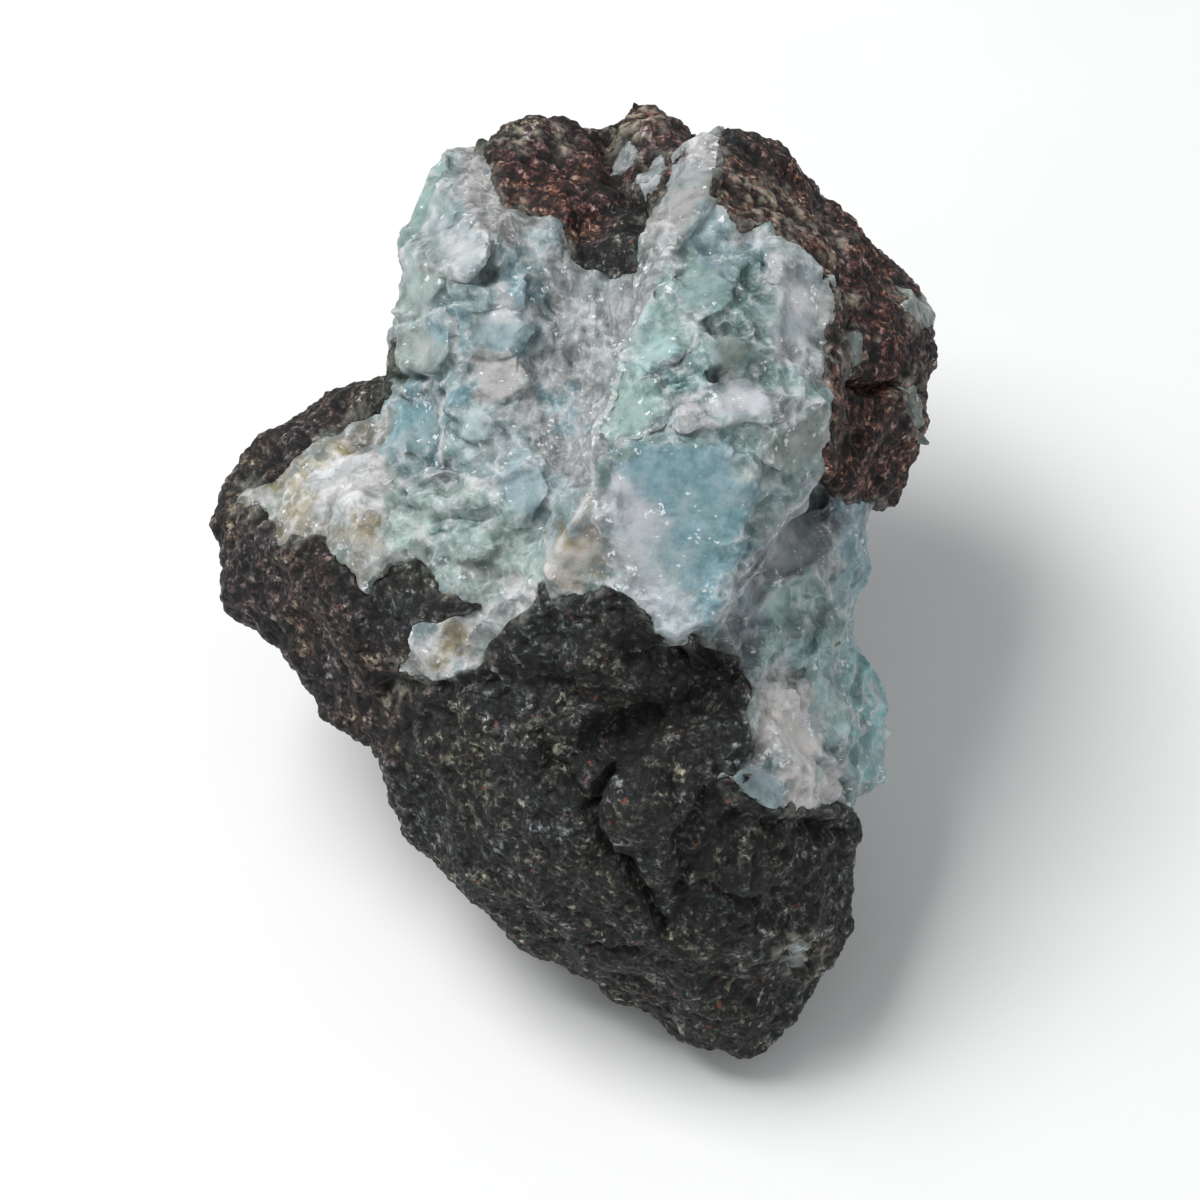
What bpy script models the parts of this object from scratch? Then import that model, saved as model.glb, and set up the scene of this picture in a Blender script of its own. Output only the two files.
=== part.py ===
"""A rough piece of larimar: a seam of blue pectolite grown in dark basalt, broken out as one stone.

The stone is a union of rough blocks. Each block is given by a few corner points on the broken face:
millimetres across it, up it, and out of it. The face leans back, and the stone rests on a flat foot.
"""

import math

import bmesh
import bpy
from mathutils import Matrix, Vector, noise
from mathutils.bvhtree import BVHTree

MM = 0.001

# Driving dimensions
FACE_LENGTH = 80.0 * MM  # the broken face, from the heel's tip to the knob on top
FACE_LENGTH_AS_DRAWN = 80.0  # the same length in the units of the corner points below
FACE_LOOKS_UP = math.radians(55)  # how far above level the broken face looks
FOOT_HEIGHT = -31.5 * MM  # level of the flat foot below the face's middle

VOXEL = 0.85 * MM  # the blocks are fused at this fineness
SOFTENING = 0.45  # how far broken edges are rounded, 0 to 1
SOFTENING_ROUNDS = 3
SKIN = 0.15 * MM  # what the softening takes off the blocks, put back
SWELL = 1.6 * MM  # depth of the broad unevenness
SWELL_SPACING = 13.0 * MM
ROUGHNESS = 0.9 * MM  # depth of the finer lumps
ROUGHNESS_SPACING = 4.5 * MM
TRIANGLES = 7000

# Corner points (across, up, out) of each block, in millimetres from the middle of the broken face
BASALT_BLOCKS = {
    "left_lobe": [
        (-32.8, 6, -6), (-32.4, 9.5, -7), (-31.8, 1, -5), (-29.4, 13.2, -7), (-26.3, 15.8, -6), (-19, 19.6, -6),
        (-24, 4, 5), (-20, -5, 6), (-27.6, -3.6, -3), (-21.6, -9.8, -3), (-18, -12.4, -1),
        (-11, -6, 10), (-10, 8, 9), (-12, 15, 5), (-28, 7, -15), (-24, -3, -14),
        (-17, -10, -17), (-16, 16, -20), (-4, 0, -26),
    ],
    "middle_lobe": [
        (-6, 0, 13), (0, 1, 16), (5, -3, 16), (10, -5, 14), (13, -8, 10), (12, -17, 10),
        (4, -17, 13.5), (-5, -12, 13), (-12, -7, 10), (-4, -22, 8), (8, -24, 8), (0, 0, -10),
    ],
    "heel": [
        (-17.2, -10, 3), (-17.2, -15, 1), (-16, -20.3, -2), (-13.4, -23, -3), (-8, -26, -5),
        (-2.8, -31, -7), (4.2, -33.8, -8), (11.9, -39.3, -8), (14.6, -38, -8), (18.8, -34, -7.5),
        (21.8, -28.8, -5), (22.6, -22.5, -3), (21.8, -18.4, -1), (15, -18, 7), (5, -26, 7.5), (13, -29, 4),
        (-4, -25, 5), (-10, -15, 8), (8, -14, 11), (12, -35, -2), (17, -26, 3), (-14, -7, 6.5),
        (-14, -18, -14), (-8, -24.5, -14), (2, -30.5, -14), (15, -31, -14), (19, -22, -16), (8, -20, -26),
    ],
    "foot": [
        (-8, -24, -25), (-3, -28.5, -21), (6, -34, -17.5), (13, -34, -17.5), (15, -26, -23), (14, -13, -33),
        (4, -7, -37), (-7, -12, -34), (-14, -15, -10), (-8, -24, -8), (4, -32, -6), (14, -32, -6),
        (19, -16, -8), (-13, -2, -18), (18, 0, -22), (0, 8, -32), (10, 8, -31),
    ],
    "core": [
        (-14, 30, -5), (-13, 8, 3), (-14, -9, 0), (-8, -22, 0), (12, -26, -2), (17, -16, 0), (17, 0, 2),
        (17, 25, 0), (6, 36.5, -7), (-8, 36, -9), (-2, 6, 8), (4, -8, 9), (-3, 28, -1), (-14, 14, -22),
        (-8, 30, -20), (16, 28, -20), (20, 8, -23),
    ],
    "back": [
        (-13, 13, -25), (-4, 15, -29), (13, 14, -28), (19, 6, -25), (0, 28, -21), (15, 25, -20),
        (-10, 28, -17), (-14, 3, -22), (10, 2, -32), (-6, 0, -31), (18, -8, -26), (0, 0, -10),
    ],
}
WEATHERED_BLOCKS = {
    "top_left_cap": [
        (-10, 38, -3), (-6.6, 42.2, -8), (-4, 40.6, -8), (-0.3, 39.6, -8), (2.5, 28, 1), (-1.5, 26.5, 3),
        (-8, 32, 3), (3, 35, -3), (-7, 37, -19), (4, 37, -19), (-7, 28, 4.5),
    ],
    "knob": [
        (0, 40.6, -9), (0.6, 37.5, -6), (2.6, 44.4, -12), (4.7, 42.4, -12), (8, 39.4, -10), (6, 36.5, -3),
        (1.5, 34, -3), (3, 40, -20), (9, 38, -20),
    ],
    "right_shoulder": [
        (9, 39.2, -3), (12.4, 40.3, -7), (16.8, 38, -9), (20, 34.3, -10), (21.6, 30.4, -9), (24, 26.8, -8),
        (28.3, 25.6, -11), (29.2, 21.3, -11), (28.6, 17.8, -10), (27.4, 13.4, -9), (26.2, 9.6, -8),
        (22.4, 8, -3), (19.2, 9, 7), (19.6, 20, 8), (18.5, 28, 3), (24, 20, 0.5), (23, 12, 1),
        (12, 35, 1), (14, 37, -19), (6, 36, -9), (6, 37, -16), (24, 27, -21), (23, 12, -21), (18, 4, -20),
    ],
}
PECTOLITE_BLOCKS = {
    "left_block": [
        (-17.8, 17, -1), (-16.6, 22, 1), (-16.2, 29, -1), (-13.8, 38.8, -8), (-10, 38.6, -4), (-9, 31, 5),
        (-12, 25, 7), (-11, 15, 9), (-14, 7, 9), (-4, 3, 11), (-2, 10, 10), (-3, 20, 6), (-1, 27, 3.5),
        (-13, 35, -17), (-15, 20, -14), (-2, 36, -17), (0, 10, -10),
    ],
    "seam_floor": [
        (-12, 4, 9), (-10, 11, 9), (-4, 13, 9.5), (0, 10, 12), (-3, 1, 13), (-7, -5, 11), (-13, -5, 9.5),
        (-6, 2, -12),
    ],
    "valley": [
        (-3, 12, 9), (-3.5, 20, 6), (-1, 27, 3.5), (2, 33, 0), (5.5, 33.5, 3), (4.8, 27, 7), (2.8, 20, 10),
        (0.5, 12, 13), (2, 20, -12), (3, 36, -12), (6.5, 36.5, -3),
    ],
    "right_ridge": [
        (7.6, 39, 1), (9.8, 38.6, -1), (6.4, 35.6, 4), (5.2, 31, 8), (4.6, 26, 12), (3, 20.8, 16),
        (0.9, 16.5, 18), (0, 11.5, 19), (-2.8, 4, 17), (-4.6, 0.6, 14.5), (2, -1, 17),
        (7.5, -3.8, 16), (11.4, 1, 17), (14, 5.6, 17), (17, 9.4, 15.5), (19.4, 12.5, 12),
        (19.8, 20, 10.5), (19.4, 25.8, 7), (12, 31.5, 6), (6, 8, 20), (9, 14, 19.5), (10, 22, 15.5),
        (0, 5, -5), (18, 12, -8), (8, 35, -10),
    ],
    "right_recess": [
        (9, 2, 12), (10, -4, 12), (15, 7, 8), (22.4, 9, 0), (22.6, 6, -4), (21, 2.2, -6), (19.4, -0.8, -5), (13, -3, 10.5),
        (13, -12, 9.5), (17, -18, 6), (20.4, -17, 0), (17, -4, 5), (11, -15, 10), (18, 4, -20),
        (16, -12, -20), (8, -5, 0),
    ],
    "right_bulge": [
        (20.4, -1.5, -5), (22.4, -5, -5), (24, -8, -5), (24.6, -10.5, -6), (24.2, -13, -6), (22.9, -15.8, -6),
        (20.8, -17.8, -4), (19.5, -7, 3), (20.5, -12, 3), (18, -16, 4), (17, -4, 2), (20, -5, -16),
        (19, -14, -16),
    ],
}


def face_to_world():
    """The turn that leans the drawn face back, with its size brought to the real one."""
    up = (0, math.sin(FACE_LOOKS_UP), math.cos(FACE_LOOKS_UP))
    out = (0, -math.cos(FACE_LOOKS_UP), math.sin(FACE_LOOKS_UP))
    turn = Matrix(((1, 0, 0), up, out)).transposed().to_4x4()
    return turn @ Matrix.Scale(FACE_LENGTH / FACE_LENGTH_AS_DRAWN, 4)


def stone_material(name, colour, roughness):
    """A dull mineral surface."""
    material = bpy.data.materials.new(name)
    material.use_nodes = True
    shader = material.node_tree.nodes["Principled BSDF"]
    shader.inputs["Base Color"].default_value = (*colour, 1)
    shader.inputs["Roughness"].default_value = roughness
    shader.inputs["Metallic"].default_value = 0
    return material


def add_block(bm, corners, placing):
    """Adds the tight skin round one block's corner points."""
    points = [bm.verts.new(placing @ Vector(corner)) for corner in corners]
    found = bmesh.ops.convex_hull(bm, input=points)
    unused = {item for item in found["geom_interior"] if isinstance(item, bmesh.types.BMVert)}
    bmesh.ops.delete(bm, geom=list(unused), context="VERTS")


def fused(name, block_groups, placing):
    """One mesh object that holds every block, fused into a single skin."""
    bm = bmesh.new()
    for blocks in block_groups:
        for corners in blocks.values():
            add_block(bm, corners, placing)
    bmesh.ops.recalc_face_normals(bm, faces=bm.faces)
    mesh = bpy.data.meshes.new(name)
    bm.to_mesh(mesh)
    bm.free()
    stone = bpy.data.objects.new(name, mesh)
    bpy.context.scene.collection.objects.link(stone)
    remesh = stone.modifiers.new("fuse", "REMESH")
    remesh.mode = "VOXEL"
    remesh.voxel_size = VOXEL
    soften = stone.modifiers.new("worn_edges", "SMOOTH")
    soften.factor = SOFTENING
    soften.iterations = SOFTENING_ROUNDS
    apply_modifiers(stone)
    return stone


def apply_modifiers(thing):
    """Replaces the object's mesh by its evaluated mesh."""
    graph = bpy.context.evaluated_depsgraph_get()
    mesh = bpy.data.meshes.new_from_object(thing.evaluated_get(graph))
    thing.modifiers.clear()
    thing.data = mesh


def roughen(mesh):
    """Pushes the skin in and out by two sizes of unevenness."""
    pushes = []
    for vertex in mesh.vertices:
        broad = noise.noise(vertex.co / SWELL_SPACING)
        fine = noise.fractal(vertex.co / ROUGHNESS_SPACING, 1.0, 2.0, 3)
        pushes.append(vertex.normal * (SKIN + SWELL * broad + ROUGHNESS * fine))
    for vertex, push in zip(mesh.vertices, pushes, strict=True):
        vertex.co += push


def cut_foot(stone, helpers):
    """Cuts the flat foot with a box that fills everything below it."""
    bpy.ops.mesh.primitive_cube_add(size=1)
    cutter = bpy.context.active_object
    cutter.name = "foot_cutter"
    side = 2 * FACE_LENGTH
    cutter.data.transform(Matrix.Diagonal((side, side, side, 1)))
    cutter.location = (0, 0, FOOT_HEIGHT - side / 2)
    cutter.hide_render = True
    cutter.display_type = "WIRE"
    for collection in list(cutter.users_collection):
        collection.objects.unlink(cutter)
    helpers.objects.link(cutter)
    cut = stone.modifiers.new("flat_foot", "BOOLEAN")
    cut.operation = "DIFFERENCE"
    cut.solver = "EXACT"
    cut.object = cutter
    apply_modifiers(stone)


def thin_out(stone):
    """Brings the skin down to the wanted number of triangles."""
    stone.data.calc_loop_triangles()
    thin = stone.modifiers.new("thin_out", "DECIMATE")
    thin.ratio = TRIANGLES / len(stone.data.loop_triangles)
    apply_modifiers(stone)


def colour_by_block(mesh, kinds, placing):
    """Gives each face the material of the block whose skin is nearest to it."""
    trees = []
    for index, (blocks, material) in enumerate(kinds):
        mesh.materials.append(material)
        for corners in blocks.values():
            bm = bmesh.new()
            add_block(bm, corners, placing)
            trees.append((index, BVHTree.FromBMesh(bm)))
            bm.free()
    for face in mesh.polygons:
        face.material_index = min(trees, key=lambda pair: pair[1].find_nearest(face.center)[3])[0]


def stand_on_origin(mesh):
    """Moves the mesh so that the middle of its box's underside is the origin."""
    corners = [vertex.co for vertex in mesh.vertices]
    low = [min(corner[axis] for corner in corners) for axis in range(3)]
    high = [max(corner[axis] for corner in corners) for axis in range(3)]
    bottom = Vector(((low[0] + high[0]) / 2, (low[1] + high[1]) / 2, low[2]))
    mesh.transform(Matrix.Translation(-bottom))
    print("the face's middle is at", [round(-value / MM, 2) for value in bottom], "mm")
    print("size", [round((high[axis] - low[axis]) / MM, 2) for axis in range(3)], "mm")


for old in list(bpy.data.objects):
    bpy.data.objects.remove(old, do_unlink=True)

parts = bpy.data.collections.new("rough_larimar")
helpers = bpy.data.collections.new("cutters")
for collection in (parts, helpers):
    bpy.context.scene.collection.children.link(collection)

kinds = [
    (BASALT_BLOCKS, stone_material("dark_basalt", (0.022, 0.022, 0.023), 0.85)),
    (WEATHERED_BLOCKS, stone_material("weathered_basalt", (0.075, 0.035, 0.028), 0.85)),
    (PECTOLITE_BLOCKS, stone_material("blue_pectolite", (0.34, 0.52, 0.55), 0.45)),
]
placing = face_to_world()
stone = fused("larimar_stone", [blocks for blocks, _ in kinds], placing)
roughen(stone.data)
thin_out(stone)
cut_foot(stone, helpers)
colour_by_block(stone.data, kinds, placing)
stand_on_origin(stone.data)
bpy.context.scene.collection.objects.unlink(stone)
parts.objects.link(stone)
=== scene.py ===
import math

import bpy
import numpy as np
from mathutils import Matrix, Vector


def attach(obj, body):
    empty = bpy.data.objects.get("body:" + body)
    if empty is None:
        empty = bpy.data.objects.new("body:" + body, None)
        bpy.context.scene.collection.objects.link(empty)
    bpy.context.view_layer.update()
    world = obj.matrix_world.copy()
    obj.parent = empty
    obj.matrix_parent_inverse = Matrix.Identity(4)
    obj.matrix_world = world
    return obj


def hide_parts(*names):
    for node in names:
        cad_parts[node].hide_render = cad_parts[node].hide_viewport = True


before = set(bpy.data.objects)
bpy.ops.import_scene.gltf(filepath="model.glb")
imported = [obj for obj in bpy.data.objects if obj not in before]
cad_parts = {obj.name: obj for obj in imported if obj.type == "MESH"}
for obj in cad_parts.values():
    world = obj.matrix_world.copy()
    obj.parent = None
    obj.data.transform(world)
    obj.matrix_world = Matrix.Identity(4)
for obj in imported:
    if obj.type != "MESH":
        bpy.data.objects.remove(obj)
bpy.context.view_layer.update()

# Camera
# The stone lies on its foot and is seen from in front and above, square on to its broken face,
# from a little under half a metre.
MM = 0.001
LOOKING_DOWN = math.radians(55)
FACE_MIDDLE = np.array([1.93, -7.73, 31.5])  # millimetres from the middle of the foot's level
ACROSS = np.array([1.0, 0.0, 0.0])
UP = np.array([0.0, math.sin(LOOKING_DOWN), math.cos(LOOKING_DOWN)])
OUT = np.array([0.0, -math.cos(LOOKING_DOWN), math.sin(LOOKING_DOWN)])
EYE_DISTANCE = 420.0  # millimetres from the middle of the face
PICTURE_WIDTH = 100.0  # millimetres that the picture takes in there

eye = bpy.data.cameras.new("eye")
eye.sensor_width = 36.0
eye.lens = eye.sensor_width * EYE_DISTANCE / PICTURE_WIDTH
eye.clip_start = 0.01
camera = bpy.data.objects.new("eye", eye)
camera.location = Vector((FACE_MIDDLE + OUT * EYE_DISTANCE) * MM)
camera.rotation_euler = (math.pi / 2 - LOOKING_DOWN, 0, 0)
bpy.context.scene.collection.objects.link(camera)
bpy.context.scene.camera = camera

# Table and light
# A pale matt table under a wide soft lamp above and to the left, with a weak one on the right,
# in a bright room.


def linear(hex_colour):
    """The scene's linear colour for an sRGB hex value."""
    shares = [int(hex_colour[i : i + 2], 16) / 255 for i in (1, 3, 5)]
    return tuple(s / 12.92 if s <= 0.04045 else ((s + 0.055) / 1.055) ** 2.4 for s in shares)


def add_node(tree, kind, settings=None, **inputs):
    """Adds a node, sets it up, and feeds each named input a value, a hex colour or another node's
    output. An input whose name the node repeats goes by its place in the node's list, such as _6. A
    ramp's stops are given as (place, hex colour)."""
    made = tree.nodes.new(kind)
    settings = dict(settings or {})
    for index, (position, colour) in enumerate(settings.pop("stops", [])):
        if index > 1:
            made.color_ramp.elements.new(position)
        made.color_ramp.elements[index].position = position
        made.color_ramp.elements[index].color = (*linear(colour), 1)
    for name, value in settings.items():
        setattr(made, name, value)
    for name, value in inputs.items():
        socket = made.inputs[int(name[1:])] if name[0] == "_" else made.inputs[name.replace("_", " ")]
        if isinstance(value, bpy.types.NodeSocket):
            tree.links.new(value, socket)
        elif isinstance(value, str):
            socket.default_value = (*linear(value), 1)
        else:
            socket.default_value = value
    return made


bpy.context.scene.view_settings.view_transform = "Standard"
room = bpy.data.worlds.new("bright_room")
room.use_nodes = True
room.node_tree.nodes["Background"].inputs["Color"].default_value = (*linear("#f2f5f8"), 1)
room.node_tree.nodes["Background"].inputs["Strength"].default_value = 0.42
bpy.context.scene.world = room


def add_lamp(name, direction, distance, width, watts):
    """A square soft lamp that faces the stone."""
    lamp = bpy.data.lights.new(name, "AREA")
    lamp.size = width
    lamp.energy = watts
    holder = bpy.data.objects.new(name, lamp)
    aim = Vector(direction).normalized()
    holder.location = aim * distance + Vector(FACE_MIDDLE * MM)
    holder.rotation_euler = aim.to_track_quat("Z", "Y").to_euler()
    bpy.context.scene.collection.objects.link(holder)


add_lamp("wide_lamp", direction=(-0.42, 0.1, 0.9), distance=0.6, width=0.3, watts=3.3)
add_lamp("weak_lamp", direction=(0.8, -0.7, 0.5), distance=0.7, width=0.5, watts=0.35)

# Matt white laminate, very faintly mottled, so the table looks plain and pale.
MOTTLE = 7.14  # millimetres across one soft patch
table_top = bpy.data.materials.new("matt_white_laminate")
table_top.use_nodes = True
shader = table_top.node_tree.nodes["Principled BSDF"]
mottle = add_node(table_top.node_tree, "ShaderNodeTexNoise", Scale=1 / (MOTTLE * MM), Detail=3.0)
mottled = add_node(
    table_top.node_tree,
    "ShaderNodeMix",
    {"data_type": "RGBA"},
    _0=mottle.outputs["Fac"],
    _6="#f4f4f3",
    _7="#fafaf9",
)
table_top.node_tree.links.new(mottled.outputs[2], shader.inputs["Base Color"])
shader.inputs["Roughness"].default_value = 0.8

bpy.ops.mesh.primitive_grid_add(x_subdivisions=4, y_subdivisions=4, size=3.0)
table = bpy.context.active_object
table.name = "table"
table.data.materials.append(table_top)

# The broken stone's form
# Basalt lava with a seam of pectolite grown in it, broken out as one rough piece. Both minerals
# share the form made here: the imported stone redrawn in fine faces, its flat breaks and crevices.


def mixed(a, b, share):
    return a + (b - a) * share


def eased(low, high, value):
    """Runs smoothly from 0 at low to 1 at high."""
    t = np.clip((value - low) / (high - low), 0, 1)
    return t * t * (3 - 2 * t)


ALL_32_BITS = 0xFFFFFFFF
STIRRING = 0x45D9F3B  # a large odd number that mixes the bits well


def dice(cells, seed):
    """Three repeatable numbers from -1 to 1 for each whole-number cell."""
    n = cells[:, 0] * 73856093 ^ cells[:, 1] * 19349663 ^ cells[:, 2] * 83492791 ^ seed * 668265263
    n = n & ALL_32_BITS
    for _ in range(2):
        n = (n ^ (n >> 16)) * STIRRING & ALL_32_BITS
    return np.stack([n >> 2 & 1023, n >> 12 & 1023, n >> 22 & 1023], axis=1) / 511.5 - 1


CORNERS = np.array([(x, y, z) for x in (0, 1) for y in (0, 1) for z in (0, 1)])
NEIGHBOURS = np.array([(x, y, z) for x in (-1, 0, 1) for y in (-1, 0, 1) for z in (-1, 0, 1)])
OCTAVE_SHIFT = 31.7  # cells that each finer cloud is shifted by, so that they don't line up
CLOUD_GAIN = 1.8  # brings a cloud to about -1 to 1


def cloud(points, size, seed, octaves=1):
    """Soft unevenness from about -1 to 1, in lumps of the given size and then halves of it."""
    total = np.zeros(len(points))
    for octave in range(octaves):
        where = points * (2**octave / size) + OCTAVE_SHIFT * octave
        cell = np.floor(where).astype(np.int64)
        part = where - cell
        ease = part**3 * (part * (part * 6 - 15) + 10)
        for corner in CORNERS:
            slope = (dice(cell + corner, seed + octave) * (part - corner)).sum(axis=1)
            nearness = np.where(corner, ease, 1 - ease).prod(axis=1)
            total += slope * nearness * CLOUD_GAIN / 2**octave
    return total


SCATTER = 0.4  # how far a hollow's middle may lie from its cell's, in cells
MOST_LEAN = 0.6  # how much a hollow's floor may lean along each direction


def scoops(points, size, seed, tilt, hollow):
    """Hollows side by side that meet at sharp edges, as in a broken stone, in millimetres. Each has
    its own tilt, and the more hollow they are the rounder. Also gives how far each point is from an
    edge, and a number from -1 to 1 that is the same for a whole hollow."""
    where = points / size
    base = np.floor(where).astype(np.int64)
    lowest = np.full(len(points), np.inf)
    next_lowest = lowest.copy()
    own = np.zeros(len(points))
    for step in NEIGHBOURS:
        cell = base + step
        gap = where - cell - 0.5 - SCATTER * dice(cell, seed)
        lean = dice(cell, seed + 50) * MOST_LEAN
        height = tilt * (lean * gap).sum(axis=1) + hollow * (gap * gap).sum(axis=1)
        lower = height < lowest
        next_lowest = np.where(lower, lowest, np.minimum(next_lowest, height))
        lowest = np.where(lower, height, lowest)
        own = np.where(lower, (lean[:, 0] + lean[:, 1]) / (2 * MOST_LEAN), own)
    return (lowest - lowest.mean()) * size, (next_lowest - lowest) * size, own


def on_face(points):
    """Where each point is drawn on the broken face: across, up and out, as the eye sees it."""
    from_middle = points - FACE_MIDDLE
    out = from_middle @ OUT
    grown = EYE_DISTANCE / (EYE_DISTANCE - out)
    return from_middle @ ACROSS * grown, from_middle @ UP * grown, out


def stroke_distance(u, v, line):
    """How far each place on the face is from a drawn line, positive on the line's left-hand side."""
    nearest = np.full(len(u), np.inf)
    side = np.ones(len(u))
    for (au, av), (bu, bv) in zip(line[:-1], line[1:], strict=True):
        du, dv = bu - au, bv - av
        t = np.clip(((u - au) * du + (v - av) * dv) / (du * du + dv * dv), 0, 1)
        distance = np.hypot(u - au - t * du, v - av - t * dv)
        closer = distance < nearest
        nearest = np.where(closer, distance, nearest)
        side = np.where(closer, np.sign(du * (v - av) - dv * (u - au) + 1e-9), side)
    return nearest * side


def inside_distance(u, v, outline):
    """How far each place on the face is inside a closed outline, negative outside it."""
    inside = np.zeros(len(u), bool)
    for (au, av), (bu, bv) in zip(outline, [*outline[1:], outline[0]], strict=True):
        if av != bv:
            inside ^= ((av > v) != (bv > v)) & (u < (bu - au) * (v - av) / (bv - av) + au)
    distance = np.abs(stroke_distance(u, v, [*outline, outline[0]]))
    return np.where(inside, distance, -distance)


def wandering(u, v, points, most, size, seed, octaves=1):
    """The places on the face, shifted by up to some millimetres, so that nothing looks ruled there."""
    across = most * cloud(points, size, seed, octaves)
    up = most * cloud(points, size, seed + 1, octaves)
    return u + across, v + up


def bake_modifiers(thing):
    """Puts the modifiers' result into the mesh."""
    mesh = bpy.data.meshes.new_from_object(thing.evaluated_get(bpy.context.evaluated_depsgraph_get()))
    thing.modifiers.clear()
    thing.data = mesh


def read_skin(mesh):
    """The mesh's points, in millimetres, and their outward directions."""
    points = np.empty(len(mesh.vertices) * 3, np.float32)
    mesh.vertices.foreach_get("co", points)
    directions = np.empty(len(mesh.vertices) * 3, np.float32)
    mesh.vertex_normals.foreach_get("vector", directions)
    return points.reshape(-1, 3).astype(float) / MM, directions.reshape(-1, 3).astype(float)


FORM_SPACING = 0.4  # millimetres between the points that the form is worked out on
SKIN_SPACING = 0.2  # and between those of the skin that the grain and the chips are worked out on


def redraw(thing, spacing, softening):
    """Gives the thing a new mesh of small even faces, smoothed the given number of times."""
    new_mesh = thing.modifiers.new("redraw", "REMESH")
    new_mesh.mode = "VOXEL"
    new_mesh.voxel_size = spacing * MM
    soften = thing.modifiers.new("soften", "SMOOTH")
    soften.factor = 0.5
    soften.iterations = softening
    bake_modifiers(thing)


def move_points(thing, points):
    thing.data.vertices.foreach_set("co", (points * MM).astype(np.float32).ravel())
    thing.data.update()


skin = bpy.data.objects.new("skin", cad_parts["larimar_stone"].data.copy())
bpy.context.scene.collection.objects.link(skin)
skin.modifiers.new("weld", "WELD").merge_threshold = 0.001 * MM
rounding = skin.modifiers.new("round", "SUBSURF")
rounding.levels = 1
rounding.render_levels = 1
redraw(skin, FORM_SPACING, 3)
points, directions = read_skin(skin.data)
facing = directions @ OUT

# Swellings, and hollows where the first number is negative: how far out, how wide, and where
# across and up the face, in millimetres
SWELLINGS = [
    (-2.6, 3.2, 8.4, -8), (-2.2, 2.8, 2.6, -11), (-1.6, 2.2, -2.6, -7.6), (-1.2, 2.0, -4.8, -14.4),
    (1.2, 2.2, 18.6, -23.4), (0.8, 2.0, 10.6, -22.6), (0.7, 1.4, 14, -28.4), (1.0, 3.4, 3.6, -18.4),
    (0.8, 2.2, 4.8, -14.2), (0.8, 1.8, -30, 6.4), (0.7, 1.2, -21, -4.8), (0.5, 1.0, -19.5, -7),
    (1.0, 2.4, -14, -1.0), (0.8, 2.2, 0.6, -4.6), (-1.0, 1.8, 3.2, 31.4), (1.0, 2.6, -24, 15),
    (-1.3, 2.8, 1.4, 23), (-1.3, 2.8, -1, 17), (-1.3, 2.6, -2.4, 11.6), (-0.8, 2.2, -4.4, 5.6),
    (-1.5, 2.2, 13.4, 2.6), (-1.4, 2.2, 16.4, 6.4), (-1.0, 1.8, 11.4, -2.2), (-0.6, 1.2, 12.6, 26.8),
]
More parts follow.
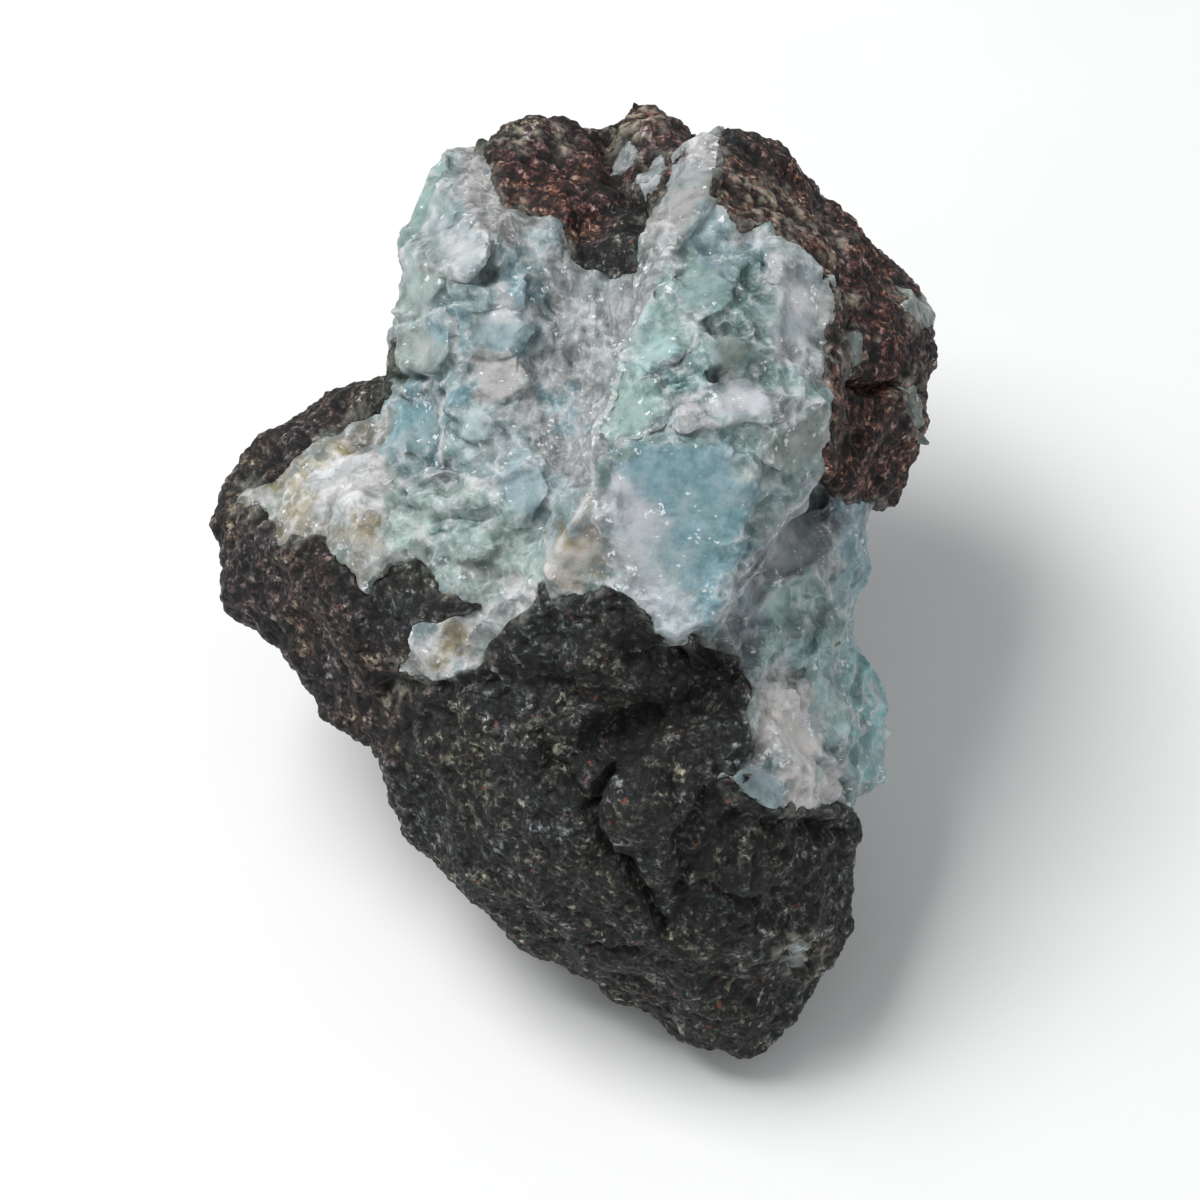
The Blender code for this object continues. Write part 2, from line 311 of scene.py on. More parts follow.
# Flat breaks: how far out the right-hand side leans, and the top, for each millimetre, how many
# millimetres the break stands out, and its outline on the face
FLAT_BREAKS = [
    (0.08, 0, 0.55, [(0.2, 12.2), (1.8, 12.9), (4.8, 13.9), (9, 13.3), (12.8, 12.2), (13.6, 9),
                     (12.4, 5.2), (10.9, 1.8), (9, -1.6), (7.6, -3.4), (5.6, -3.4), (3.6, -1.6),
                     (1.2, 0.6), (0, 1.2), (-0.3, 5), (-0.4, 9)]),
    (0.48, -0.08, 0.63, [(0.2, 13), (1, 17.4), (2.6, 19.9), (4.6, 18.3), (5.8, 17.2), (5, 15),
                         (3.5, 13.5), (2, 12.6)]),
    (0.24, -0.48, 0.76, [(2.6, 20.2), (4.5, 22.4), (5.9, 22), (7.6, 20.7), (6.1, 20.1), (4.5, 19.2)]),
    (0.24, -0.24, 0.5, [(5.9, 26.8), (10.3, 29.4), (12.6, 28.2), (10.6, 24), (8.2, 22.9), (5.4, 24.8)]),
    (0.16, -0.16, 0.42, [(5.9, 29.2), (5.8, 33), (7.6, 37.8), (10, 38.2), (9.8, 34), (8.4, 31.6),
                         (6.8, 30)]),
    (-0.24, 0.08, 0.38, [(13.9, 29.8), (17.2, 28.4), (18.6, 26.4), (18.5, 22.8), (18.1, 19.4),
                         (16.3, 18.5), (14.6, 21.9), (15, 25.5), (13.6, 27.2)]),
    (0.16, -0.4, 0.42, [(5.8, 16.6), (8.7, 17.8), (13.2, 18.4), (16.8, 17.2), (15.9, 14.9), (13.2, 15.1),
                        (9.6, 14.7), (6.9, 14.2)]),
    (-0.24, 0.48, 0.38, [(9, 22.3), (10.9, 22.8), (12.8, 21.9), (12.4, 19.2), (9.6, 18.3)]),
    (-0.48, 0.16, 0.38, [(15.9, 14.7), (18.6, 16.2), (18.9, 12.9), (17.4, 11), (15, 10.2), (13.4, 12.2),
                         (14.1, 14.2)]),
    (0.16, 0.16, 0.34, [(12.6, 23.6), (14.4, 22), (15.6, 19), (13.4, 18.6), (12.4, 20.4)]),
    (0.16, -0.32, 0.55, [(4.6, 18.9), (6.4, 19.9), (8.6, 20.9), (9.4, 19.2), (7.4, 18), (5.9, 17.4)]),
    (0.48, 0, 0.13, [(-16, 28.8), (-15, 32.4), (-13.7, 37), (-12.6, 37.2), (-13, 35), (-14, 32),
                     (-14.6, 29.6)]),
    (0.16, -0.4, 0.29, [(-13.6, 31.2), (-10.2, 31.8), (-9, 28.8), (-10.8, 26.8), (-13.4, 27.6)]),
    (0.32, 0.16, 0.34, [(-16.2, 27.8), (-13.6, 28.2), (-12.6, 26.2), (-13.8, 24.8), (-16.4, 24.2)]),
    (0.16, -0.32, 0.21, [(-12.2, 26.4), (-8.6, 27.6), (-5.6, 26.4), (-6, 24.4), (-9.6, 24.2),
                         (-12, 24.8)]),
    (0.32, -0.08, 0.42, [(-16.7, 19), (-16.4, 22.6), (-14, 23.6), (-12.4, 23), (-12.2, 20.4),
                         (-14, 18.8)]),
    (0.16, 0.16, 0.21, [(-11.4, 23.6), (-7, 24), (-5, 22.4), (-6.2, 20.6), (-10.8, 20.8)]),
    (0.16, -0.32, 0.25, [(-11, 20.2), (-6.8, 20.4), (-5.8, 17.8), (-8, 16.4), (-11.2, 17.4)]),
    (0.4, 0.16, 0.34, [(-17, 17.4), (-14.2, 17.2), (-13.4, 14.4), (-14.2, 12), (-16.6, 12)]),
    (0.16, 0.16, 0.29, [(-13, 17.6), (-11.2, 17.9), (-11, 16.2), (-12.6, 15.6)]),
    (0.32, -0.16, 0.38, [(-11.8, 15.4), (-9.6, 15.5), (-9.3, 13.2), (-11.6, 12.8)]),
    (0.32, 0.16, 0.21, [(-8.4, 11.4), (-4.8, 11.8), (-3.8, 9), (-5.4, 6.8), (-8.2, 8)]),
    (0, -0.48, 0.25, [(-16.6, 9.6), (-13, 10.6), (-9.2, 9.4), (-9.6, 8), (-13, 7.8), (-16.4, 8)]),
    (0.16, -0.32, 0.21, [(-14.6, 5.8), (-10, 6.4), (-8, 4.6), (-10, 3), (-14, 3.4)]),
    (-0.16, -0.16, 0.21, [(-7.6, 5.6), (-4.6, 6.4), (-3.6, 3), (-5.4, 0.6), (-7.6, 2.4)]),
    (0, -0.32, 0.21, [(14.6, -0.4), (18.6, 0), (19.4, -3), (17.4, -5), (14.8, -4.4)]),
    (0.32, 0.16, 0.17, [(13.4, 1.6), (15.4, 2), (16, -0.4), (13.6, -2.4), (12.8, 0)]),
    (0.32, -0.16, 0.34, [(17.6, -11.4), (18, -9.5), (19, -8), (20.1, -7.8), (20.5, -9.5), (20.2, -11),
                         (19, -12.1)]),
    (-0.32, -0.16, 0.25, [(14.6, -7), (16.4, -6.8), (17.2, -9.8), (18.6, -13), (17, -15.4), (14.8, -13.6),
                          (14.2, -10)]),
    (-0.32, -0.16, 0.21, [(10.6, -14.6), (11.6, -13.9), (14, -14.3), (15.6, -16), (14, -17.2),
                          (11.6, -16.4)]),
    (0, -0.48, 0.29, [(13.8, -4.8), (15.6, -4.6), (17.4, -5.6), (16.6, -6.6), (14.4, -6.4)]),
]
MOST_MOVED = 1.2  # millimetres that a flat break may shift the form

u, v, out = on_face(points)
seen = eased(0.1, 0.4, facing)
swelling = np.zeros(len(points))
for push, wide, at_u, at_v in SWELLINGS:
    swelling += push * np.exp(-((u - at_u) ** 2 + (v - at_v) ** 2) / wide**2)
points += (swelling * seen)[:, None] * OUT
out = on_face(points)[2]
wander_u, wander_v = wandering(u, v, points, most=0.25, size=1.8, seed=33)
for lean_right, lean_up, stand_out, outline in FLAT_BREAKS:
    inside = inside_distance(wander_u, wander_v, outline)
    chosen = (inside > 0) & (seen > 0.3)
    from_u, from_v = u - u[chosen].mean(), v - v[chosen].mean()
    leaning = np.column_stack([np.ones(len(points)), from_u, from_v])
    plane, *_ = np.linalg.lstsq(leaning[chosen], out[chosen], rcond=None)
    target = leaning @ (plane + (stand_out, lean_right, lean_up))
    moved = np.clip(target - out, -MOST_MOVED, MOST_MOVED) * eased(-0.15, 0.35, inside) * seen
    out += moved
    points += moved[:, None] * OUT
move_points(skin, points)
redraw(skin, SKIN_SPACING, 1)

# Crevices, on the face: how deep and how wide each is, and its line
CREVICES = [
    (0.8, 0.35, [(0.2, 27), (-0.2, 25.5), (0.4, 24), (0.9, 22.5)]),
    (0.8, 0.4, [(-17, 18.3), (-15.5, 18.7), (-14, 18.2), (-12.6, 19.5), (-12, 20.2), (-12.2, 22)]),
    (0.8, 0.4, [(-13.6, 17), (-13.4, 15.4), (-12.2, 15), (-11.9, 13.3), (-10.3, 12.6)]),
    (0.7, 0.4, [(-18, 10.2), (-16, 11), (-14.5, 11.6), (-12, 11.4)]),
    (1.0, 0.4, [(-13.7, 6.6), (-12, 7), (-10.5, 6.8), (-8.8, 7.3)]),
    (0.6, 0.4, [(-9.8, 24.8), (-12.5, 25), (-15, 24), (-16.4, 23)]),
    (1.0, 0.4, [(5.2, 17.4), (6.8, 18.6), (8.3, 19), (9.8, 18.6)]),
    (0.7, 0.4, [(8.8, 22.8), (9.6, 22.6), (10.8, 22.5)]),
    (0.8, 0.4, [(10.2, 27.4), (12, 26.9), (13.6, 26.7), (14, 27.5)]),
    (1.2, 0.35, [(19.8, -12.4), (20.4, -14.8), (20.9, -17)]),
    (0.7, 0.3, [(13.9, -6.2), (15, -6.8), (16.5, -6.5), (17.5, -6)]),
    (0.6, 0.3, [(14.6, -9.2), (16.6, -11.3), (17.6, -12.7), (19.4, -14.2), (20.6, -15.7)]),
    (1.6, 0.45, [(1.3, -13.5), (-0.1, -15.8), (-0.8, -17.7), (-0.3, -20), (0.8, -21.7), (2.6, -22.4),
                 (4.2, -25), (5.6, -28)]),
    (0.9, 0.4, [(-5.1, -10.9), (-4, -13.6), (-2.4, -15.6), (-0.8, -17.2)]),
    (1.4, 1.3, [(-3, -13.2), (1.5, -11.4), (4.5, -10.2), (8, -8.6), (10.5, -7.6)]),
    (1.0, 0.5, [(8.9, -15.9), (8.2, -18), (6.5, -19.8), (6.9, -22), (6.6, -24)]),
    (1.2, 0.8, [(11.4, -18.6), (13, -18.9), (16, -18.8), (20, -19)]),
    (0.8, 0.5, [(8.6, -23.8), (10.4, -24.8), (12.8, -25.2)]),
    (1.8, 0.4, [(20.6, 17.8), (22.5, 17.7), (25.2, 17.9)]),
    (0.7, 0.3, [(-5, -28.6), (0, -28.9), (3, -29.2)]),
    (1.5, 0.9, [(0.4, 41), (0.5, 38.3), (1.2, 36.5), (2, 34.5), (3, 31.5)]),
    (1.2, 0.8, [(3, -4.8), (6, -5.1), (9, -4.8), (12, -5.6)]),
    (1.0, 0.6, [(-17.5, -7.6), (-15, -7.4), (-12, -7.5), (-9, -6.8)]),
]
# Sharp ridges where two broken faces meet: how high and how wide each is, and its line
RIDGES = [
    (0.7, 0.7, [(0.4, 14.2), (0, 12.9), (-0.1, 10.6), (-1, 8.4), (-2.6, 5.2), (-3.7, 2.2)]),
    (0.7, 0.8, [(18.9, 11), (17, 8.9), (14.9, 7.5), (12.8, 4.4), (11.3, 1.8), (9.9, -0.4), (8.3, -3.9)]),
    (0.6, 0.6, [(5, 24.6), (2.8, 21), (2.6, 19.6), (1.5, 17.4), (0.6, 14.7), (0.2, 13.2)]),
    (0.4, 0.4, [(2.7, 20), (4.5, 19.2), (6.1, 20.1), (7.6, 20.8), (8.8, 22)]),
    (0.4, 0.4, [(1.8, 12.6), (3.6, 13.6), (5, 15), (5.7, 17.2), (4.6, 18.4)]),
    (0.4, 0.5, [(6.9, 14.2), (9.6, 14.7), (13.2, 15.1), (15.9, 14.7), (17.7, 16.4)]),
    (0.4, 0.5, [(13.4, 27.3), (15, 25.5), (14.6, 21.9), (16.3, 18.5)]),
    (0.4, 0.5, [(13.6, 30.2), (17.2, 28.6), (19, 26.6), (18.9, 22.8)]),
    (0.4, 0.5, [(5.9, 29.2), (7.4, 30.4), (9.6, 33.4), (11.6, 31.2), (13.6, 30.6)]),
    (0.4, 0.4, [(-12.6, 38), (-13, 35), (-14, 32), (-15.4, 29.4), (-17, 28.2)]),
    (0.4, 0.4, [(-16.6, 9.6), (-13, 10.7), (-9.2, 9.6), (-6, 11.4)]),
    (0.4, 0.4, [(-13.6, 27.6), (-10.8, 26.9), (-9, 28.8), (-10.2, 31.6)]),
    (0.4, 0.4, [(-17, 23.8), (-14, 23.8), (-12.2, 22.8), (-12, 20)]),
    (0.2, 0.5, [(-14, 17.2), (-13.2, 14.2), (-13.8, 11.8)]),
    (0.4, 0.5, [(14.4, -6.2), (16.6, -9.4), (18.4, -12.6), (20.4, -14.8)]),
    (0.4, 0.5, [(20.6, -9), (22.4, -10.8), (25.2, -11.4)]),
    (0.4, 0.4, [(13.2, -0.6), (15, 1.6), (17.6, 2.8), (19, 0.4)]),
]
skin_points, skin_directions = read_skin(skin.data)
facing = skin_directions @ OUT
seen = eased(0.1, 0.4, facing)
u, v, _ = on_face(skin_points)
wander_u, wander_v = wandering(u, v, skin_points, most=0.3, size=1.6, seed=31)
carving = np.zeros(len(skin_points))
for deep, wide, line in CREVICES:
    carving -= deep * np.exp(-((stroke_distance(wander_u, wander_v, line) / wide) ** 2))
crest = np.zeros(len(skin_points))
for high, wide, line in RIDGES:
    away = np.abs(stroke_distance(wander_u, wander_v, line))
    carving += high * eased(1.6, 0.0, away / wide)
    crest = np.maximum(crest, eased(0.42, 0.12, away))
carving *= seen
crest *= seen

# The pectolite seam's outline on the face, and those of the small bits of it that sit in the basalt
SEAM_OUTLINES = [
    [
        (-13.6, 39.5), (-10, 38.4), (-9.2, 36), (-8, 33.2), (-6, 32.4), (-3.2, 31.3), (-2.3, 28.5),
        (-1, 27.3), (0.5, 26.9), (3, 27.4), (3.3, 30.2), (4.7, 33), (5.8, 36), (7.4, 38.4), (8.5, 40),
        (10.2, 39.5), (10.2, 36.8), (9.5, 35.4), (9.7, 33.4), (11.8, 31.2), (13.6, 31.3), (15.2, 30),
        (17.8, 27.7), (19.2, 26.6), (19, 22.5), (19.3, 20), (18.5, 18.8), (19.4, 17), (19.5, 14.5),
        (18.3, 11.2), (18.4, 9), (20, 8), (27, 7.8), (30, 0), (30, -18), (21.2, -17.9), (19.5, -17.1),
        (16, -17.4), (13.6, -17), (11.4, -15.9), (10.1, -14.8), (11.2, -13.8), (12.6, -13.3),
        (12.5, -8.8), (13, -7), (12.2, -4.6), (9.7, -4.1), (8, -3.2), (7, -3.9), (5.4, -4), (4.8, -2.6),
        (2.6, 0), (0.3, 1), (-1.2, 0.3), (-4.2, 0.2), (-4.9, 1.6), (-6, -0.9), (-7.7, -1.8), (-9.4, -3.6),
        (-10, -5.2), (-13, -6.6), (-17.2, -6.5), (-17.1, -5.4), (-15.7, -4.7), (-15.3, -2.1),
        (-11.6, -1.4), (-10.2, -0.5), (-12.4, 0.5), (-13.8, 0.9), (-14.1, 2.1), (-15.4, 3.1),
        (-17.4, 2.8), (-19.4, 0.8), (-20.4, 1.2), (-20.6, 2.7), (-22.6, 4.2), (-23, 5.6), (-25.6, 5.5),
        (-26.5, 4.5), (-27.6, 6), (-28.4, 7.8), (-30.4, 8.3), (-30, 9.3), (-26.8, 10.2), (-24, 12.4),
        (-20.6, 15.4), (-18.4, 15.4), (-17.5, 17.4), (-17.3, 20), (-16.8, 21.4), (-20, 24), (-22, 34),
        (-16, 41),
    ],
    [(1.1, 36.6), (1.4, 38.2), (2.4, 38.7), (3.3, 37.4), (2.8, 36.4)],
    [(2.6, 34.2), (3.3, 36), (4.6, 36.8), (5.6, 36.2), (5, 34.9), (4.2, 34)],
    [(24.4, 26.5), (27.8, 25.2), (28.4, 22.6), (26.3, 22.6), (25, 25)],
    [(19.8, 22.2), (21.6, 22), (21.8, 20.2), (20.6, 18.6)],
    [(25.2, 18.2), (27, 18), (26.6, 13.4), (25.6, 15)],
    [(16, -27.6), (17.4, -28.4), (17.2, -31.8), (15.6, -30.6)],
]


BAND_HALF_WIDTH = 5.5  # millimetres, on the stone's back


def seam_depth(points, facing):
    """How far each point is inside the pectolite, in millimetres, negative in the basalt. The seam
    shows on the broken face by its outline, and runs on round the back as a slanting band."""
    u, v, _ = on_face(points)
    drawn = np.max([inside_distance(u, v, outline) for outline in SEAM_OUTLINES], axis=0)
    band = BAND_HALF_WIDTH - np.abs(0.66 * (u - 2) + 0.75 * (v - 12)) + 4 * cloud(points, 14, 21)
    wander = 0.5 * cloud(points, 2.4, 22, 3)
    return mixed(band, drawn, eased(-0.75, -0.5, facing)) + wander


skin_depth = seam_depth(skin_points, facing)
foot_level = eased(0.3, 1.4, skin_points[:, 2])
SHARP_RIDGE = math.radians(30)  # ridges at least this sharp aren't rounded off in the light
SUNK = 2.4  # millimetres that a mineral's own mesh lies under the other one's
HIDDEN_LEFT_OUT = 0.9  # the share of the hidden faces that is left out
MOST_TRIANGLES = 190000  # in one mineral's mesh


def write_values(mesh, name, values):
    """Keeps a number, or a colour, with each of the mesh's points."""
    colour = values.ndim == 2
    kept = mesh.attributes.new(name, "FLOAT_COLOR" if colour else "FLOAT", "POINT")
    if colour:
        values = np.column_stack([values, np.ones(len(values))])
    kept.data.foreach_set("color" if colour else "value", values.astype(np.float32).ravel())


def add_piece(name, relief, share, **kept):
    """One mineral's piece of the skin: pushed out by its relief where it shows, and sunk elsewhere."""
    piece = bpy.data.objects.new(name, skin.data.copy())
    for value_name, values in kept.items():
        write_values(piece.data, value_name, values)
    bpy.context.scene.collection.objects.link(piece)
    push = (mixed(-SUNK, relief, share) + carving) * foot_level
    move_points(piece, skin_points + skin_directions * push[:, None])
    covered = share < 0.02
    hidden = piece.vertex_groups.new(name="hidden")
    hidden.add(np.flatnonzero(covered & (foot_level > 0.5)).tolist(), 1.0, "REPLACE")
    relax = piece.modifiers.new("relax", "SMOOTH")
    relax.factor = 0.5
    relax.iterations = 40
    relax.vertex_group = hidden.name
    thin_hidden = piece.modifiers.new("thin_hidden", "DECIMATE")
    thin_hidden.ratio = 1 - HIDDEN_LEFT_OUT * covered.mean()
    thin_hidden.vertex_group = hidden.name
    bake_modifiers(piece)
    piece.data.calc_loop_triangles()
    thin_all = piece.modifiers.new("thin_all", "DECIMATE")
    thin_all.ratio = min(1.0, MOST_TRIANGLES / len(piece.data.loop_triangles))
    bake_modifiers(piece)
    piece.vertex_groups.clear()
    piece.data.name = name
    piece.data.materials.clear()
    piece.data.shade_smooth()
    piece.data.set_sharp_from_angle(angle=SHARP_RIDGE)
    return piece


def spread(values, where):
    """The chosen points' values, with zero for all the others."""
    full = np.zeros((len(where), *values.shape[1:]))
    full[where] = values
    return full


def near(u, v, pools):
    """How much each place lies in any of some round pools, given as (across, up, radius)."""
    share = np.zeros(len(u))
    for at_u, at_v, radius in pools:
        share = np.maximum(share, eased(1.3, 0.5, np.hypot(u - at_u, v - at_v) / radius))
    return share


# Basalt
# Dark fine-grained lava, granular where it is broken, with the seam's contact cut into it and the
# old weathered side gone red-brown with iron.
LUMP = 5.2  # millimetres across one broken lump
NUB = 1.9  # and one nub on it
CRUMB = 0.75  # and one crumb
share = eased(0.5, -0.1, skin_depth)
bare = share > 0
here = skin_points[bare]
lumps, _, _ = scoops(here, LUMP, 41, tilt=1.0, hollow=0.6)
nubs, _, _ = scoops(here, NUB, 42, tilt=0.8, hollow=0.8)
crumbs, _, _ = scoops(here, CRUMB, 43, tilt=0.6, hollow=1.0)
relief = 0.1 + 0.45 * lumps - 0.45 * nubs - 0.6 * crumbs + 0.35 * cloud(here, 9, 44, 2)
u, v, _ = on_face(here)
# Painted shade on the face, deep in its hollows and fainter over its lower part, as (across, up, radius)
# of round pools
HOLLOW_SHADE_POOLS = [(6.4, -8.6, 5.4), (1.6, -12, 4.4), (-0.6, -17.4, 2.4)]
LOWER_SHADE_POOLS = [(11, -20, 8), (4, -27, 6)]
painted_hollow_shade = near(u + cloud(here, 3, 45, 2), v + cloud(here, 3, 52, 2), HOLLOW_SHADE_POOLS)
painted_hollow_shade *= eased(-0.4, 0.2, facing[bare])
painted_hollow_shade = np.maximum(painted_hollow_shade, 0.5 * near(u, v, LOWER_SHADE_POOLS))
# Painted shade, in the hollows between the nubs and crumbs and in the shaded pools
pit = np.clip(eased(-0.05, 0.45, 0.7 * nubs + 1.1 * crumbs) + 0.5 * painted_hollow_shade, 0, 1)
basalt = add_piece("basalt", spread(relief, bare), share, pit=spread(pit, bare))

points, directions = read_skin(basalt.data)
u, v, _ = on_face(points)
wander_u, wander_v = wandering(u, v, points, most=1.2, size=3, seed=46, octaves=2)
front = eased(-0.4, 0.2, directions @ OUT)
# And where it has weathered red-brown, and where the left lobe is made brown-grey and lighter
RUSTY_POOLS = [(22, 26, 9), (23, 15, 8), (14, 34, 5), (-4, 35, 6), (5, 38, 4), (20, 10, 5)]
BROWNISH_POOLS = [(-27, 3, 9), (-22, -8, 7), (-24, 13, 6)]
weathered = near(wander_u, wander_v, RUSTY_POOLS)
weathered = np.maximum(weathered, 0.3 * near(wander_u, wander_v, BROWNISH_POOLS))
weathered_back = eased(-0.2, 0.5, cloud(points, 18, 48, 2) + 0.02 * points[:, 2] - 0.6)
weathered = mixed(weathered_back, weathered, front)
to_seam = seam_depth(points, directions @ OUT)
contact = eased(-1.2, 0.4, to_seam + 1.1 * cloud(points, 1.6, 49, 3) - 0.4)
# And where a pale crust lies on it
CRUSTS = [
    (1.5, 40.4, 2.2), (4.2, 39.6, 2), (-7, 38.8, 1.6), (-3.6, 38.2, 1.5), (12.5, 33.8, 2.2),
    (15, 32, 2.4), (18.6, 29.8, 2), (20.8, 24.6, 1.4), (21, 21.4, 1.4), (26, 17, 1.4), (-29.6, 6.6, 1.2),
    (-16.8, -8.4, 1.2), (16.6, -29, 2.2),
]
crust = near(wander_u, wander_v, CRUSTS) * front * eased(-0.15, 0.3, cloud(points, 0.9, 53, 3))
write_values(basalt.data, "crust", crust)
write_values(basalt.data, "weathered", weathered)
write_values(basalt.data, "contact", contact)
write_values(basalt.data, "shade", eased(-0.8, 0.8, cloud(points, 5, 51, 3)))

# Broken basalt: black grains among grey and a few rusty ones, so it is dark and speckled close by.
# It is dull, apart from its pale grains, darkest in its gaps, and painted with shade in its hollows.
volcanic_rock = bpy.data.materials.new("broken_basalt")
volcanic_rock.use_nodes = True
tree = volcanic_rock.node_tree
shader = tree.nodes["Principled BSDF"]
place = add_node(tree, "ShaderNodeTexCoord").outputs["Object"]
GRAIN = 0.34  # millimetres across one mineral grain
CLUMP = 1.3  # and a clump of grains of one kind
GAP = 0.8  # and a black gap between grains, or a bend in their outlines
GRIT = 0.3  # and the finest grit
bent = add_node(
    tree, "ShaderNodeTexNoise", Vector=place, Scale=1 / (GAP * MM), Detail=2.0
).outputs["Color"]
bent_place = add_node(
    tree,
    "ShaderNodeVectorMath",
    {"operation": "MULTIPLY_ADD"},
    _0=bent,
    _1=(1.2 * GRAIN * MM,) * 3,
    _2=place,
).outputs["Vector"]
cells = add_node(tree, "ShaderNodeTexVoronoi", Vector=bent_place, Scale=1 / (GRAIN * MM))
pick = add_node(tree, "ShaderNodeSeparateColor", Color=cells.outputs["Color"]).outputs["Red"]
clumps = add_node(
    tree, "ShaderNodeTexNoise", Vector=place, Scale=1 / (CLUMP * MM), Detail=4.0, Roughness=0.75
)
clumped = add_node(
    tree, "ShaderNodeMath", {"operation": "MULTIPLY_ADD"}, _0=clumps.outputs["Fac"], _1=1.9, _2=-0.81
).outputs["Value"]
speckle = add_node(
    tree, "ShaderNodeMath", {"operation": "MULTIPLY_ADD"}, _0=pick, _1=0.5, _2=clumped
).outputs["Value"]
# Fresh rock runs from black to pale grey grains, and weathered rock from dark to pale red-brown
fresh = add_node(
    tree,
    "ShaderNodeValToRGB",
    {
        "stops": [
            (0.15, "#050606"),
            (0.38, "#151617"),
            (0.52, "#2c2b29"),
            (0.66, "#4f4e48"),
            (0.8, "#7d7c75"),
            (0.95, "#b5b5ae"),
        ],
    },
    Fac=speckle,
).outputs["Color"]
rusty = add_node(
    tree,
    "ShaderNodeValToRGB",
    {
        "stops": [
            (0.15, "#0f0706"),
            (0.38, "#2a1512"),
            (0.52, "#4f2c25"),
            (0.66, "#755047"),
            (0.8, "#96857e"),
            (0.95, "#b8aea7"),
        ],
    },
    Fac=speckle,
).outputs["Color"]
red_grains = add_node(tree, "ShaderNodeSeparateColor", Color=cells.outputs["Color"]).outputs["Blue"]
red_grains = add_node(
    tree, "ShaderNodeMapRange", Value=red_grains, From_Min=0.992, From_Max=0.997
).outputs["Result"]
fresh = add_node(
    tree, "ShaderNodeMix", {"data_type": "RGBA"}, _0=red_grains, _6=fresh, _7="#63382c"
).outputs[2]
kept = {}
for name in ("shade", "weathered", "contact", "crust", "pit"):
    kept[name] = add_node(tree, "ShaderNodeAttribute", {"attribute_name": name}).outputs["Fac"]
tint = add_node(
    tree,
    "ShaderNodeValToRGB",
    {"stops": [(0.2, "#cfdcee"), (0.5, "#fbfbfb"), (0.8, "#eeead0")]},
    Fac=kept["shade"],
).outputs["Color"]
ground = add_node(
    tree, "ShaderNodeMix", {"data_type": "RGBA"}, _0=kept["weathered"], _6=fresh, _7=rusty
).outputs[2]
ground = add_node(
    tree, "ShaderNodeMix", {"data_type": "RGBA", "blend_type": "MULTIPLY"}, _0=0.8, _6=ground, _7=tint
).outputs[2]
for name, stain in (("crust", "#a39e8c"), ("contact", "#7d8077")):
    # A pale crust, and the bleached rim along the seam, both thin enough to let the grains through
    stained = add_node(
        tree, "ShaderNodeMix", {"data_type": "RGBA"}, _0=0.5, _6=ground, _7=stain
    ).outputs[2]
    ground = add_node(
        tree, "ShaderNodeMix", {"data_type": "RGBA"}, _0=kept[name], _6=ground, _7=stained
    ).outputs[2]
# Painted shade: the hollows are darkened and the rest is lightened a little
pits = add_node(tree, "ShaderNodeMapRange", Value=kept["pit"], To_Min=1.25, To_Max=0.15).outputs["Result"]
ground = add_node(
    tree, "ShaderNodeVectorMath", {"operation": "SCALE"}, _0=ground, Scale=pits
).outputs["Vector"]
gaps = add_node(tree, "ShaderNodeTexNoise", Vector=place, Scale=1 / (GAP * MM), Detail=3.0, Roughness=0.6)
gap_share = add_node(
    tree,
    "ShaderNodeMapRange",
    Value=gaps.outputs["Fac"],
    From_Min=0.36,
    From_Max=0.5,
    To_Min=0.25,
    To_Max=1.25,
).outputs["Result"]
ground = add_node(
    tree, "ShaderNodeVectorMath", {"operation": "SCALE"}, _0=ground, Scale=gap_share
).outputs["Vector"]
tree.links.new(ground, shader.inputs["Base Color"])
grit = add_node(
    tree, "ShaderNodeTexNoise", Vector=place, Scale=1 / (GRIT * MM), Detail=3.0, Roughness=0.6
)
rough = add_node(tree, "ShaderNodeMapRange", Value=speckle, To_Min=0.85, To_Max=0.5).outputs["Result"]
tree.links.new(rough, shader.inputs["Roughness"])
bump = add_node(tree, "ShaderNodeBump", Height=grit.outputs["Fac"], Strength=0.7, Distance=0.18 * MM)
tree.links.new(bump.outputs["Normal"], shader.inputs["Normal"])
basalt.data.materials.append(volcanic_rock)
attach(basalt, "root")
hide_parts("larimar_stone")

# Pectolite seam
# Blue pectolite, larimar, grown in tufts of needles and broken across them: waxy, milky and
# slightly see-through, with chips, ledges and cleavage faces, whose sparkle is painted as white glints.
CHUNK = 4.6  # millimetres across one broken chunk
CHIP = 1.9  # and one chip
SPLINTER = 0.8  # and one splinter
NEEDLES = (0.8, 3.2, 1.5)  # millimetres that the needles' ribs run across, up and out of the face
# Where the mineral broke flat, and where its needles show, as (across, up, radius) of round pools
CALM = [
    (6, 5, 5), (8, 9, 4.5), (4, 10, 3), (16, 5, 3), (14, 0, 2), (2.4, 15.6, 2), (4.6, 20.8, 1.6),
    (9, 26.4, 2.4), (12, 16.4, 2.2), (16.4, 24, 2.8), (8, 33.4, 3), (-2, 4, 2), (-14.6, 32.6, 2.2),
    (-14.6, 26, 1.8), (-14.4, 21.2, 2), (-15.6, 14.6, 2), (-8.4, 18.4, 1.8), (-8.6, 22.4, 2),
    (-11.8, 29.2, 1.8), (-10.6, 14, 1.4), (16.6, -11.4, 2), (12.6, -15.6, 1.8), (-6.4, 9, 2),
    (17, 12.6, 1.8), (10.8, 20.6, 1.8),
]
FIBROUS = [(0, 20, 5), (-1, 15, 4), (1.5, 26, 3), (-4, 12, 3)]
share = eased(-0.5, 0.1, skin_depth)
grown = share > 0
here = skin_points[grown]
front = eased(-0.55, -0.3, facing[grown])
u, v, _ = on_face(here)
calm = near(u, v, CALM) * front
fibrous = near(u, v, FIBROUS) * front
